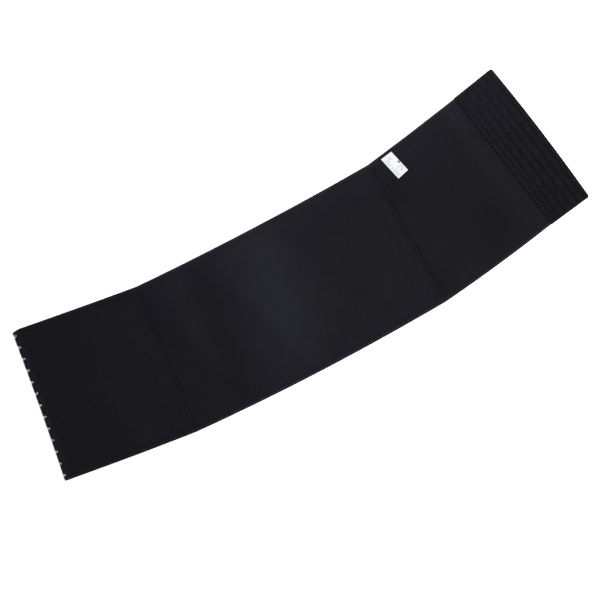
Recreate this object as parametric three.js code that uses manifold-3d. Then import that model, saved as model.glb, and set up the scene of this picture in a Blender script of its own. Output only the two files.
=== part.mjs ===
// A neoprene slimming belt laid flat with its inner face up: three neoprene panels, an edge binding,
// a hook tape with wire hooks at one end, an eye tape with three rows of wire eyes at the other, and a
// small care label. Millimetres, +X from the hooks to the eyes, +Y to the upper edge, +Z up, and the
// belt lies on z = 0.
import * as THREE from "three";
import { mergeVertices } from "three/addons/utils/BufferGeometryUtils.js";
import Module from "manifold-3d";

// Closure: what the hooks and the eyes share
const HOOK_COUNT = 13;
const HOOK_PITCH = 19;
const HOOK_MARGIN = 9;
const WIRE = 1.0;

// Panels
const BELT_WIDTH = (HOOK_COUNT - 1) * HOOK_PITCH + 2 * HOOK_MARGIN;
const HOOK_PANEL_LENGTH = 210.5;
const MIDDLE_PANEL_LENGTH = 420;
const EYE_PANEL_LENGTH = 185;
const NEOPRENE = 2.5;
const CLEARANCE = 0.3;
const WAVE_HEIGHT = 3.5;

// Edge binding, folded over the upper and the lower edge
const BINDING_FACE = 7;
const BINDING_WALL = 1.0;

// Hook tape, folded over the end of the hook side panel
const TAPE_WALL = 1.0;
const HOOK_TAPE_FACE = 14;
const HOOK_SEAT = 8;
const HOOK_EDGE = 3.2;
const HOOK_ROLL = 0.4;
const HOOK_ROLL_HALF = 1;
const HOOK_TAPE_HEM = 2;

// Hooks, each one bent wire with two legs
const HOOK_LEG = 4.5;
const HOOK_BILL = 3.4;
const HOOK_SPREAD = 2.2;
const HOOK_SET_BACK = 0.3;

// Eye tape: a lap over the panel's end, then two ridges for each row of eyes
const EYE_ROWS = 3;
const EYE_ROW_PITCH = 24;
const EYE_LAP = 7.4;
const FIRST_RIDGE = 8.8;
const LAST_RIDGE = 9.2;
const RIDGE_HEIGHT = 1.3;
const DENT_DEPTH = 0.7;
const TAPE_CORNER = 3;
const TAPE_OVERHANG = 0.6;

// Eyes: wire loops that stand in a channel under the tape
const EYE_WIDTH = 5;
const EYE_REACH = 5;
const EYE_CHANNEL = 7;
const EYE_LIP = 1.1;
const EYE_FROM_EDGE = 12;

// Care label, sewn in under the upper binding
const LABEL_WIDTH = 20;
const LABEL_LENGTH = 38;
const LABEL_THICKNESS = 1.0;
const LABEL_FROM_SEAM = 34;
const LABEL_TILT = 5.6;

// Sizes worked out from those above
const SEGMENT = 26;
const ROWS_ACROSS = 6;
const WIRE_SIDES = 5;
const RADIANS = Math.PI / 180;
const PANEL_BASE = Math.max(BINDING_WALL, TAPE_WALL) + CLEARANCE;
const PANEL_TOP = PANEL_BASE + NEOPRENE;
const MOUTH_LOW = PANEL_BASE - CLEARANCE;
const MOUTH_HIGH = PANEL_TOP + CLEARANCE;
const RIDGE_PITCH = EYE_ROW_PITCH / 2;
const EYE_TAPE_WIDTH = EYE_LAP + FIRST_RIDGE + (2 * EYE_ROWS - 2) * RIDGE_PITCH + LAST_RIDGE;

// Cross lines from the hook end to the eye end. run is the centre line's length up to this line and
// heading its direction; slant is how the line leans; width and bulge are shares of the belt's width.
// A bow is how far the upper and the lower edge up to this line sag, as a share of the run.
const STRAIGHT = { upper: 0, lower: 0 };
const HOOK_PART_BOW = { upper: 0.0025, lower: 0.0042 };
const MIDDLE_BOW = { upper: 0.0097, lower: 0.0129 };
const EYE_PART_BOW = { upper: 0.0036, lower: 0.0094 };
const CROSS_LINES = [
  { run: 0, heading: 0, slant: -9.2, width: 1.0, bulge: 0.006, bow: STRAIGHT },
  { run: HOOK_PANEL_LENGTH, heading: -8.5, slant: -6.2, width: 0.989, bulge: 0, bow: HOOK_PART_BOW },
  { run: MIDDLE_PANEL_LENGTH, heading: -1, slant: 1.1, width: 0.991, bulge: 0, bow: MIDDLE_BOW },
  { run: EYE_PANEL_LENGTH, heading: 8.2, slant: 9, width: 0.998, bulge: 0, bow: EYE_PART_BOW },
  { run: EYE_TAPE_WIDTH, heading: 9, slant: 8.8, width: 1.01, bulge: 0.01, bow: STRAIGHT },
];
const HOOK_PART = 0;
const EYE_PART = 2;
const TAPE_PART = 3;

// Soft waves across the belt: at and reach are shares of the belt's length, lean is in degrees, and
// upper and lower are the height at the two edges as shares of the wave height.
const WAVES = [
  { at: 0.12, reach: 0.07, lean: 0, upper: 0.12, lower: 0.2 },
  { at: 0.285, reach: 0.05, lean: -4, upper: 0.3, lower: 0.12 },
  { at: 0.455, reach: 0.215, lean: -7, upper: 1.45, lower: 1.25 },
  { at: 0.88, reach: 0.07, lean: 6, upper: 0.6, lower: 0 },
];
const WAVE_FADE = 40;

// A ridge of the eye tape, from its steep side back to its trough: back is a share of its pitch and
// height a share of its height. The flap's stitched end dips by a share of the ridge height too.
const RIDGE_SHAPE = [
  { back: 0.15, height: 0.7 },
  { back: 0.45, height: 1 },
];
const LAP_DIP = { back: 0.4, depth: 0.25 };

const CLOTH = { color: 0x1c1b20, roughness: 0.85, metalness: 0 };
const NEOPRENE_FINISH = { color: 0x201f25, roughness: 0.8, metalness: 0 };
const STEEL = { color: 0xb9babd, roughness: 0.3, metalness: 1 };
const LABEL_FINISH = { color: 0xf2f2f2, roughness: 0.7, metalness: 0 };

const wasm = await Module();
wasm.setup();

const clamp = THREE.MathUtils.clamp;
const lerp = THREE.MathUtils.lerp;
const turned = (degrees) => new THREE.Vector2(Math.cos(degrees * RADIANS), Math.sin(degrees * RADIANS));

// The cross lines laid out in the plane, with the middle of the chord between the ends at the origin
function layOut(rows) {
  const centre = new THREE.Vector2();
  const lines = rows.map((row) => {
    centre.addScaledVector(turned(row.heading), row.run);
    const across = turned(row.slant + 90).multiplyScalar((row.width * BELT_WIDTH) / 2);
    return { ...row, centre: centre.clone(), across };
  });
  const chord = lines.at(-1).centre.clone();
  for (const line of lines) {
    line.centre.addScaledVector(chord, -0.5);
    line.centre.rotateAround(new THREE.Vector2(), -chord.angle());
    line.across.rotateAround(new THREE.Vector2(), -chord.angle());
    line.upper = line.centre.clone().add(line.across);
    line.lower = line.centre.clone().sub(line.across);
    line.along = line.across.clone().normalize().rotateAround(new THREE.Vector2(), -Math.PI / 2);
  }
  return lines;
}
const LINES = layOut(CROSS_LINES);
const CHORD = LINES.at(-1).centre.distanceTo(LINES[0].centre);

// How high the belt stands off the floor at a place: its waves, which die out before both tapes
function lift(x, y) {
  const place = new THREE.Vector2(x, y);
  const fromHooks = place.clone().sub(LINES[0].centre).dot(LINES[0].along) - HOOK_TAPE_FACE;
  const fromEyes = -place.clone().sub(LINES[TAPE_PART].centre).dot(LINES[TAPE_PART].along);
  const rise = (distance) => THREE.MathUtils.smoothstep(distance, 0, WAVE_FADE);
  const share = clamp((y - LINES[1].centre.y) / BELT_WIDTH + 0.5, 0, 1);
  let height = 0;
  for (const wave of WAVES) {
    const from = x - CHORD * (wave.at - 0.5) + y * Math.tan(wave.lean * RADIANS);
    const t = clamp(from / (wave.reach * CHORD), -1, 1);
    height += lerp(wave.lower, wave.upper, share) * Math.cos((t * Math.PI) / 2) ** 2;
  }
  return WAVE_HEIGHT * rise(fromHooks) * rise(fromEyes) * height;
}

// The upper and the lower edge at u, which counts cross lines: 1.5 is halfway between lines 1 and 2
function edges(u) {
  const part = clamp(Math.floor(u), 0, LINES.length - 2);
  const f = u - part;
  const [a, b] = [LINES[part], LINES[part + 1]];
  const down = b.centre.clone().sub(a.centre).normalize().rotateAround(new THREE.Vector2(), -Math.PI / 2);
  const sag = Math.max(0, 4 * f * (1 - f)) * b.run;
  const upper = a.upper.clone().lerp(b.upper, f).addScaledVector(down, b.bow.upper * sag);
  const lower = a.lower.clone().lerp(b.lower, f).addScaledVector(down, b.bow.lower * sag);
  const along = a.along.clone().lerp(b.along, clamp(f, 0, 1)).normalize();
  return { upper, lower, along, bulge: lerp(a.bulge, b.bulge, clamp(f, 0, 1)) * BELT_WIDTH };
}

// The place at u, a share v of the way from the lower edge to the upper one, and a height w
function place(u, v, w) {
  const { upper, lower, along, bulge } = edges(u);
  const flat = lower.lerp(upper, v).addScaledVector(along, bulge * 4 * v * (1 - v));
  return new THREE.Vector3(flat.x, flat.y, w + lift(flat.x, flat.y));
}
const widthAt = (u) => edges(u).upper.distanceTo(edges(u).lower);

// A length along a part of the belt as a share of it
const along = (part, length) => part + length / CROSS_LINES[part + 1].run;

// Moves every corner of a plain geometry to where the map sends it
function bend(geometry, map) {
  const corners = geometry.getAttribute("position");
  for (let i = 0; i < corners.count; i += 1) {
    const moved = map(corners.getX(i), corners.getY(i), corners.getZ(i));
    corners.setXYZ(i, moved.x, moved.y, moved.z);
  }
  return geometry;
}

// The steps from one place along the belt to another, with each cross line between them as a step
function columns(from, to) {
  const crossed = LINES.map((_, line) => line).filter((line) => line > from && line < to);
  const stops = [from, ...crossed, to];
  const list = [from];
  for (let i = 1; i < stops.length; i += 1) {
    const part = Math.floor((stops[i - 1] + stops[i]) / 2);
    const count = Math.ceil(CROSS_LINES[part + 1].run / SEGMENT);
    for (let k = 1; k < count; k += 1) {
      const step = part + k / count;
      if (step > stops[i - 1] + 0.5 / count && step < stops[i] - 0.5 / count) list.push(step);
    }
    list.push(stops[i]);
  }
  return list;
}

function solidOf(geometry) {
  const bare = geometry.clone();
  for (const name of Object.keys(bare.attributes)) {
    if (name !== "position") bare.deleteAttribute(name);
  }
  bare.clearGroups();
  const merged = mergeVertices(bare.index ? bare.toNonIndexed() : bare, 1e-3);
  return new wasm.Manifold(new wasm.Mesh({
    numProp: 3,
    vertProperties: new Float32Array(merged.getAttribute("position").array),
    triVerts: new Uint32Array(merged.index.array),
  }));
}

function geometryOf(solid) {
  const mesh = solid.getMesh();
  const geometry = new THREE.BufferGeometry();
  geometry.setAttribute("position", new THREE.BufferAttribute(new Float32Array(mesh.vertProperties), 3));
  geometry.setIndex(Array.from(mesh.triVerts));
  return geometry;
}

const belt = new THREE.Group();
function addPiece(name, geometry, finish) {
  geometry.computeVertexNormals();
  const mesh = new THREE.Mesh(geometry, new THREE.MeshStandardMaterial({ ...finish }));
  mesh.name = name;
  belt.add(mesh);
  return mesh;
}

// A neoprene sheet between two places along the belt, held inside the bindings
function panel(from, to) {
  const steps = columns(from, to);
  const count = steps.length - 1;
  const sheet = new THREE.BoxGeometry(count, ROWS_ACROSS, NEOPRENE, count, ROWS_ACROSS, 1);
  sheet.translate(count / 2, 0, PANEL_BASE + NEOPRENE / 2);
  return bend(sheet, (x, y, z) => {
    const u = steps[Math.round(x)];
    const inset = (BINDING_WALL + CLEARANCE) / widthAt(u);
    return place(u, 0.5 + (y / ROWS_ACROSS) * (1 - 2 * inset), z);
  });
}

// A plain extrusion of a section, one millimetre to a step, which bend then lays along the belt
const stepsAlong = (count) => ({ depth: count, steps: count, bevelEnabled: false });

// A cloth strip folded over an edge: its section runs inwards from the edge, first under the belt
function foldSection(face, wall, bottomCorner) {
  const top = MOUTH_HIGH + wall;
  const bottom = MOUTH_LOW - wall;
  return new THREE.Shape([
    new THREE.Vector2(face, bottom),
    new THREE.Vector2(bottomCorner, bottom),
    new THREE.Vector2(0, bottom + bottomCorner),
    new THREE.Vector2(0, top - bottomCorner),
    new THREE.Vector2(bottomCorner, top),
    new THREE.Vector2(face, top),
    new THREE.Vector2(face, MOUTH_HIGH),
    new THREE.Vector2(wall, MOUTH_HIGH),
    new THREE.Vector2(wall, MOUTH_LOW),
    new THREE.Vector2(face, MOUTH_LOW),
  ]);
}

function binding(isUpper) {
  const from = along(HOOK_PART, HOOK_TAPE_FACE + CLEARANCE);
  const steps = columns(from, along(EYE_PART, EYE_PANEL_LENGTH - CLEARANCE));
  const section = foldSection(BINDING_FACE, BINDING_WALL, BINDING_WALL);
  const count = steps.length - 1;
  const strip = new THREE.ExtrudeGeometry(section, stepsAlong(count));
  // Counting the steps backwards keeps the faces of the upper strip pointing out
  return bend(strip, (x, y, z) => {
    const u = steps[isUpper ? count - Math.round(z) : Math.round(z)];
    const inset = x / widthAt(u);
    return place(u, isUpper ? 1 - inset : inset, y);
  });
}

// Where the hooks and the eyes stand across the belt, as shares of a line's width
const closurePlaces = Array.from({ length: HOOK_COUNT }, (_, i) => HOOK_MARGIN + i * HOOK_PITCH);
const closureShares = closurePlaces.map((place) => place / BELT_WIDTH);

// The hook tape's section: solid where the hook legs are held, open behind for the panel's end
function hookTapeSection() {
  const top = MOUTH_HIGH + TAPE_WALL;
  const bottom = MOUTH_LOW - TAPE_WALL;
  const corner = HOOK_EDGE / 4;
  return new THREE.Shape([
    new THREE.Vector2(HOOK_TAPE_FACE, bottom),
    new THREE.Vector2(corner, bottom),
    new THREE.Vector2(0, bottom + corner),
    new THREE.Vector2(0, bottom + HOOK_EDGE - corner),
    new THREE.Vector2(corner, bottom + HOOK_EDGE),
    new THREE.Vector2(HOOK_LEG, bottom + HOOK_EDGE + HOOK_ROLL),
    new THREE.Vector2(HOOK_SEAT - HOOK_ROLL_HALF, top),
    new THREE.Vector2(HOOK_SEAT + HOOK_ROLL_HALF, top + HOOK_ROLL),
    new THREE.Vector2(HOOK_TAPE_FACE - HOOK_TAPE_HEM, top),
    new THREE.Vector2(HOOK_TAPE_FACE, top - HOOK_ROLL / 2),
    new THREE.Vector2(HOOK_TAPE_FACE, MOUTH_HIGH),
    new THREE.Vector2(HOOK_SEAT, MOUTH_HIGH),
    new THREE.Vector2(HOOK_SEAT, MOUTH_LOW),
    new THREE.Vector2(HOOK_TAPE_FACE, MOUTH_LOW),
  ]);
}

// The frame of one hook at the edge of the hook tape: out of the belt's end, across it, and up
function hookFrame(share) {
  const at = place(HOOK_PART, share, MOUTH_LOW - TAPE_WALL + HOOK_EDGE / 2);
  const beside = place(HOOK_PART, share - 0.01, 0);
  const up = new THREE.Vector3(0, 0, 1);
  const across = new THREE.Vector3(beside.x - at.x, beside.y - at.y, 0).normalize();
  const out = new THREE.Vector3().crossVectors(across, up);
  return new THREE.Matrix4().makeBasis(out, across, up).setPosition(at);
}

function hookTape() {
  const corner = TAPE_CORNER / BELT_WIDTH;
  const shares = [0, corner, ...closureShares, 1 - corner, 1];
  const count = shares.length - 1;
  const strip = new THREE.ExtrudeGeometry(hookTapeSection(), stepsAlong(count));
  bend(strip, (x, y, z) => {
    const step = count - Math.round(z);
    const cut = step === 0 || step === count ? Math.max(0, HOOK_LEG - x) / 2 : 0;
    return place(along(HOOK_PART, x + cut), shares[step], y);
  });
  let tape = solidOf(strip);
  const room = WIRE + 2 * CLEARANCE;
  for (const share of closureShares) {
    const slot = new THREE.BoxGeometry(2 * (HOOK_LEG + CLEARANCE), HOOK_SPREAD + room, room);
    tape = tape.subtract(solidOf(slot.applyMatrix4(hookFrame(share))));
  }
  return geometryOf(tape);
}

// A wire's middle line, which keeps exactly the corners that it is given
class WirePath extends THREE.Curve {
  constructor(corners) {
    super();
    this.corners = corners;
  }

  getPoint(t, target = new THREE.Vector3()) {
    const at = t * (this.corners.length - 1);
    const i = clamp(Math.floor(at), 0, this.corners.length - 2);
    return target.lerpVectors(this.corners[i], this.corners[i + 1], at - i);
  }

  getPointAt(t, target) {
    return this.getPoint(t, target);
  }

  getTangentAt(t, target = new THREE.Vector3()) {
    const i = Math.round(t * (this.corners.length - 1));
    const before = this.corners[Math.max(i - 1, 0)];
    const after = this.corners[Math.min(i + 1, this.corners.length - 1)];
    return target.subVectors(after, before).normalize();
  }
}

function wire(corners) {
  const sides = Array.from({ length: WIRE_SIDES }, (_, i) => (i * 360) / WIRE_SIDES);
  const round = sides.map((angle) => turned(angle).multiplyScalar(WIRE / 2));
  return new THREE.ExtrudeGeometry(new THREE.Shape(round), {
    extrudePath: new WirePath(corners), steps: corners.length - 1, bevelEnabled: false,
  });
}

// A hook: a leg, a half turn up over the tape's edge, the bill, its rounded tip, and back again
function hook(share) {
  const bill = HOOK_EDGE / 2 + HOOK_ROLL + CLEARANCE + WIRE / 2;
  const radius = bill / 2;
  const side = [];
  for (const out of [-HOOK_LEG, -HOOK_LEG / 2]) side.push([out, 0]);
  for (let angle = -90; angle <= 90; angle += 36) {
    const turn = turned(angle).multiplyScalar(radius);
    side.push([turn.x - HOOK_SET_BACK, radius + turn.y]);
  }
  side.push([-HOOK_BILL + HOOK_SPREAD / 2, bill]);
  const corners = side.map(([out, up]) => new THREE.Vector3(out, -HOOK_SPREAD / 2, up));
  for (let angle = -45; angle <= 45; angle += 45) {
    const turn = turned(angle).multiplyScalar(HOOK_SPREAD / 2);
    corners.push(new THREE.Vector3(-HOOK_BILL + HOOK_SPREAD / 2 - turn.x, turn.y, bill));
  }
  for (const [out, up] of side.toReversed()) corners.push(new THREE.Vector3(out, HOOK_SPREAD / 2, up));
  return wire(corners).applyMatrix4(hookFrame(share));
}

// The middle line of each row of eyes, measured from the eye tape's inner edge
const eyeRowAt = (row) => EYE_TAPE_WIDTH - EYE_FROM_EDGE - row * EYE_ROW_PITCH;

// The eye tape's section: the mouth for the panel's end, the channels below and the ridges above
function eyeTapeSection() {
  const bottom = MOUTH_LOW - TAPE_WALL;
  const top = MOUTH_HIGH + TAPE_WALL;
  const trough = top - RIDGE_HEIGHT;
  const ceiling = bottom + EYE_LIP + WIRE + 2 * CLEARANCE;
  const corner = TAPE_WALL;
  const section = [[0, bottom]];
  for (let row = EYE_ROWS - 1; row >= 0; row -= 1) {
    const left = eyeRowAt(row) - EYE_CHANNEL / 2;
    const right = eyeRowAt(row) + EYE_CHANNEL / 2;
    const back = right + WIRE + 3 * CLEARANCE;
    section.push([left, bottom], [left, ceiling], [back, ceiling], [back, bottom + EYE_LIP]);
    section.push([right, bottom + EYE_LIP], [right, bottom]);
  }
  let end = EYE_TAPE_WIDTH;
  section.push([end - corner, bottom], [end, bottom + corner], [end, trough - corner]);
  for (const pitch of [LAST_RIDGE, ...Array(2 * EYE_ROWS - 2).fill(RIDGE_PITCH), FIRST_RIDGE]) {
    for (const point of RIDGE_SHAPE) {
      section.push([end - point.back * pitch, trough + point.height * RIDGE_HEIGHT]);
    }
    end -= pitch;
    if (end > EYE_LAP + TAPE_WALL) section.push([end, trough]);
  }
  section.push([EYE_LAP, top - LAP_DIP.depth * RIDGE_HEIGHT], [EYE_LAP * (1 - LAP_DIP.back), top]);
  section.push([0, top], [0, MOUTH_HIGH], [EYE_LAP, MOUTH_HIGH], [EYE_LAP, MOUTH_LOW], [0, MOUTH_LOW]);
  return new THREE.Shape(section.map(([x, y]) => new THREE.Vector2(x, y)));
}

function eyeTape() {
  const over = TAPE_OVERHANG / BELT_WIDTH;
  const corner = TAPE_CORNER / BELT_WIDTH;
  const middles = closureShares.slice(1).map((share) => share - HOOK_PITCH / 2 / BELT_WIDTH);
  const inner = [...closureShares, ...middles].sort((a, b) => a - b);
  const shares = [-over, corner - over, ...inner, 1 + over - corner, 1 + over];
  const count = shares.length - 1;
  const strip = new THREE.ExtrudeGeometry(eyeTapeSection(), stepsAlong(count));
  const trough = MOUTH_HIGH + TAPE_WALL - RIDGE_HEIGHT;
  return bend(strip, (x, y, z) => {
    const step = count - Math.round(z);
    const share = shares[step];
    const rise = Math.max(0, y - trough) / RIDGE_HEIGHT;
    const dent = x > EYE_LAP && middles.includes(share) ? DENT_DEPTH * rise : 0;
    const outer = Math.max(0, x - (EYE_TAPE_WIDTH - 2 * TAPE_CORNER));
    const cut = step === 0 || step === count ? outer / 2 : 0;
    return place(along(TAPE_PART, x - cut), share, y - dent);
  });
}

// A row of eyes bent from one wire: a straight back inside the tape and a loop at each hook's place
function eyeRow(row) {
  const height = MOUTH_LOW - TAPE_WALL + EYE_LIP + CLEARANCE + WIRE / 2;
  const lip = eyeRowAt(row) + EYE_CHANNEL / 2;
  const back = lip + CLEARANCE + WIRE / 2;
  const radius = EYE_WIDTH / 2;
  const corners = [];
  const add = (x, share, y) => corners.push(place(along(TAPE_PART, x), share + y / BELT_WIDTH, height));
  for (const share of closureShares) {
    add(back, share, -radius - WIRE);
    add(back - WIRE, share, -radius);
    for (let angle = -90; angle <= 90; angle += 45) {
      const turn = turned(angle).multiplyScalar(radius);
      add(lip - EYE_REACH + radius - turn.x, share, turn.y);
    }
    add(back - WIRE, share, radius);
    add(back, share, radius + WIRE);
  }
  return wire(corners);
}

// The label hangs square to the upper edge but for its tilt, just below the binding
function careLabel() {
  const tag = new THREE.BoxGeometry(LABEL_WIDTH, LABEL_LENGTH, LABEL_THICKNESS, 2, 4, 1);
  const u = along(EYE_PART, LABEL_FROM_SEAM);
  const { upper } = edges(u);
  const edge = edges(u + 0.01).upper.sub(upper).angle();
  const drop = BINDING_FACE + CLEARANCE + (LABEL_WIDTH / 2) * Math.sin(LABEL_TILT * RADIANS);
  tag.translate(0, -LABEL_LENGTH / 2, MOUTH_HIGH + LABEL_THICKNESS / 2);
  tag.rotateZ(LABEL_TILT * RADIANS);
  tag.translate(0, -drop, 0);
  tag.rotateZ(edge);
  tag.translate(upper.x, upper.y, 0);
  return bend(tag, (x, y, z) => new THREE.Vector3(x, y, z + lift(x, y)));
}

const seam = (line, side) => line + (side * CLEARANCE) / 2 / CROSS_LINES[line + (side > 0 ? 1 : 0)].run;
addPiece("hook_side_panel", panel(along(HOOK_PART, HOOK_SEAT + CLEARANCE), seam(1, -1)), NEOPRENE_FINISH);
addPiece("middle_panel", panel(seam(1, 1), seam(2, -1)), NEOPRENE_FINISH);
addPiece("eye_side_panel", panel(seam(2, 1), along(TAPE_PART, EYE_LAP - CLEARANCE)), NEOPRENE_FINISH);
addPiece("upper_binding", binding(true), CLOTH);
addPiece("lower_binding", binding(false), CLOTH);
addPiece("hook_tape", hookTape(), CLOTH);
addPiece("eye_tape", eyeTape(), CLOTH);
addPiece("care_label", careLabel(), LABEL_FINISH);
closureShares.forEach((share, i) => addPiece(`hook_${String(i + 1).padStart(2, "0")}`, hook(share), STEEL));
for (let row = 0; row < EYE_ROWS; row += 1) addPiece(`eye_row_${row + 1}`, eyeRow(row), STEEL);

// The origin is at the middle of the belt's box, on the surface that the belt lies on
const box = new THREE.Box3().setFromObject(belt);
const middle = box.getCenter(new THREE.Vector3());
belt.position.set(-middle.x, -middle.y, -box.min.z);
const part = new THREE.Group();
part.add(belt);

export default part;
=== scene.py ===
"""A neoprene slimming belt laid flat with its inner face up, dressed with its cloth, stitches and wire.

Sizes are in millimetres and are turned into metres where a mesh is made. u counts the belt's cross lines
from the hook end (0) over the two seams (1 and 2) and the eye tape's inner edge (3) to the eye end (4),
v goes from the lower edge (0) to the upper edge (1), and w is the height over the floor without the
belt's soft waves.
"""

import math

import bpy
import numpy as np
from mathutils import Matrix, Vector


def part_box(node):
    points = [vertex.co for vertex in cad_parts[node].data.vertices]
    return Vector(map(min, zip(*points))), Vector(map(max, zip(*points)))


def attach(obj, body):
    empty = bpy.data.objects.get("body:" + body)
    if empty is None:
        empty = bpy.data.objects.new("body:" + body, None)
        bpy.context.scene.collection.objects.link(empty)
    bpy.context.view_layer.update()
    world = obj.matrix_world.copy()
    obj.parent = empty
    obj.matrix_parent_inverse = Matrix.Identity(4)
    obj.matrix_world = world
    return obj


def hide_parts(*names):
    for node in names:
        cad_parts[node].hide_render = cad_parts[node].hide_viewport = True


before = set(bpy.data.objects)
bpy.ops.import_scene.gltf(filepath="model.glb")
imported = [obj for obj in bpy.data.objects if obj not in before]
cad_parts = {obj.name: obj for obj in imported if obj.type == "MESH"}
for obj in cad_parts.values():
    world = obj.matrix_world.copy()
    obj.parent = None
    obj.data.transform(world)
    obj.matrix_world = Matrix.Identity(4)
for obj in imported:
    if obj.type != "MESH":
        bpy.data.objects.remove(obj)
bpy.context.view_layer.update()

MM = 0.001

# Sizes that the solids have too
HOOK_COUNT, HOOK_PITCH, HOOK_MARGIN = 13, 19.0, 9.0
BELT_WIDTH = (HOOK_COUNT - 1) * HOOK_PITCH + 2 * HOOK_MARGIN
HOOK_PANEL_LENGTH, MIDDLE_PANEL_LENGTH, EYE_PANEL_LENGTH = 210.5, 420.0, 185.0
NEOPRENE, CLEARANCE, WAVE_HEIGHT, WAVE_FADE = 2.5, 0.3, 3.5, 40.0
WIRE, WALL = 1.0, 1.0
BINDING_FACE = 7.0
HOOK_TAPE_FACE, HOOK_SEAT, HOOK_EDGE = 14.0, 8.0, 3.2
HOOK_LEG, HOOK_BILL, HOOK_SPREAD, HOOK_SET_BACK = 4.5, 3.4, 2.2, 0.3
EYE_ROWS, EYE_ROW_PITCH, EYE_LAP, FIRST_RIDGE, LAST_RIDGE = 3, 24.0, 7.4, 8.8, 9.2
TAPE_CORNER, TAPE_OVERHANG = 3.0, 0.6
EYE_WIDTH, EYE_REACH, EYE_CHANNEL, EYE_LIP, EYE_FROM_EDGE = 5.0, 5.0, 7.0, 1.1, 12.0
LABEL_WIDTH, LABEL_LENGTH, LABEL_FROM_SEAM, LABEL_TILT = 20.0, 38.0, 34.0, 5.6
LABEL_TUCK, LABEL_RISE = 2.6, 1.6
PANEL_BASE = WALL + CLEARANCE
PANEL_TOP = PANEL_BASE + NEOPRENE
CLOTH_TOP = PANEL_TOP + CLEARANCE + WALL
RIDGE_PITCH = EYE_ROW_PITCH / 2
EYE_TAPE_WIDTH = EYE_LAP + FIRST_RIDGE + (2 * EYE_ROWS - 2) * RIDGE_PITCH + LAST_RIDGE

# Columns: run, heading, slant, width, bulge, upper bow, lower bow
CROSS_LINES = np.array([
    (0.0, 0.0, -9.2, 1.0, 0.006, 0.0, 0.0),
    (HOOK_PANEL_LENGTH, -8.5, -6.2, 0.989, 0.0, 0.0025, 0.0042),
    (MIDDLE_PANEL_LENGTH, -1.0, 1.1, 0.991, 0.0, 0.0097, 0.0129),
    (EYE_PANEL_LENGTH, 8.2, 9.0, 0.998, 0.0, 0.0036, 0.0094),
    (EYE_TAPE_WIDTH, 9.0, 8.8, 1.01, 0.01, 0.0, 0.0),
])
RUN, HEADING, SLANT, WIDTH, BULGE, UPPER_BOW, LOWER_BOW = CROSS_LINES.T
LINES, LINES_AT = np.arange(len(RUN)), np.cumsum(RUN)

# Broad waves: columns are the middle and the reach as shares of the chord, a lean in degrees, and the
# height at the upper and the lower edge
WAVES = (
    (0.12, 0.07, 0.0, 0.12, 0.2),
    (0.285, 0.05, -4.0, 0.3, 0.12),
    (0.455, 0.215, -7.0, 1.45, 1.25),
    (0.88, 0.07, 6.0, 0.6, 0.0),
)


# The belt's plan and its waves

def unit(degrees):
    angle = np.radians(degrees)
    return np.stack([np.cos(angle), np.sin(angle)], -1)


def directions(vectors):
    """The vectors at a length of one."""
    return vectors / np.linalg.norm(vectors, axis=-1, keepdims=True)


def quarter_back(vector):
    """The vector turned by a quarter turn clockwise."""
    return np.stack([vector[..., 1], -vector[..., 0]], -1)


def lay_out():
    centres = np.cumsum(unit(HEADING) * RUN[:, None], 0)
    across = unit(SLANT + 90) * (WIDTH * BELT_WIDTH / 2)[:, None]
    chord = centres[-1].copy()
    angle = -math.atan2(chord[1], chord[0])
    turn = np.array([[math.cos(angle), -math.sin(angle)], [math.sin(angle), math.cos(angle)]])
    centres = (centres - chord / 2) @ turn.T
    across = across @ turn.T
    ahead = quarter_back(directions(across))
    return centres, centres + across, centres - across, ahead, math.hypot(*chord)


CENTRES, UPPER, LOWER, ALONG, CHORD = lay_out()


def smooth_step(x, low, high):
    t = np.clip((x - low) / (high - low), 0, 1)
    return t * t * (3 - 2 * t)


def mix(a, b, t):
    return a + (b - a) * t


def quarter_round(t):
    """A rise from nothing to one, steep at first and level at last, as over a rounded edge."""
    t = np.clip(t, 0, 1)
    return np.sqrt(t * (2 - t))


def running(steps):
    """The sum of the steps up to each corner, with nothing at the first."""
    return np.concatenate([[0], np.cumsum(steps)])


# Small ripples of the cloth: columns are the wave vector in radians per mm, a phase and a share
RIPPLES = (
    (0.062, 0.021, 0.4, 0.34),
    (0.034, -0.055, 2.1, 0.26),
    (0.108, 0.043, 4.4, 0.20),
    (-0.071, 0.094, 1.2, 0.20),
)
RIPPLE_HEIGHT = 0.55


def waves(x, y):
    """The height of the belt's broad waves, which is the solids' own."""
    at = np.stack([x, y], -1)
    from_hooks = (at - CENTRES[0]) @ ALONG[0] - HOOK_TAPE_FACE
    from_eyes = -((at - CENTRES[3]) @ ALONG[3])
    fade = smooth_step(from_hooks, 0, WAVE_FADE) * smooth_step(from_eyes, 0, WAVE_FADE)
    share = np.clip((y - CENTRES[1, 1]) / BELT_WIDTH + 0.5, 0, 1)
    height = 0
    for middle, reach, lean, upper, lower in WAVES:
        off = x - CHORD * (middle - 0.5) + y * math.tan(math.radians(lean))
        t = np.clip(off / (reach * CHORD), -1, 1)
        height = height + mix(lower, upper, share) * np.cos(t * math.pi / 2) ** 2
    return WAVE_HEIGHT * fade * height, fade


def lift(x, y):
    """The broad waves and, on top of them, fine ripples that die out at the tapes too."""
    height, fade = waves(x, y)
    ripple = sum(share * np.sin(kx * x + ky * y + phase) for kx, ky, phase, share in RIPPLES)
    return height + RIPPLE_HEIGHT * fade * (0.5 + 0.5 * ripple)


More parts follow.
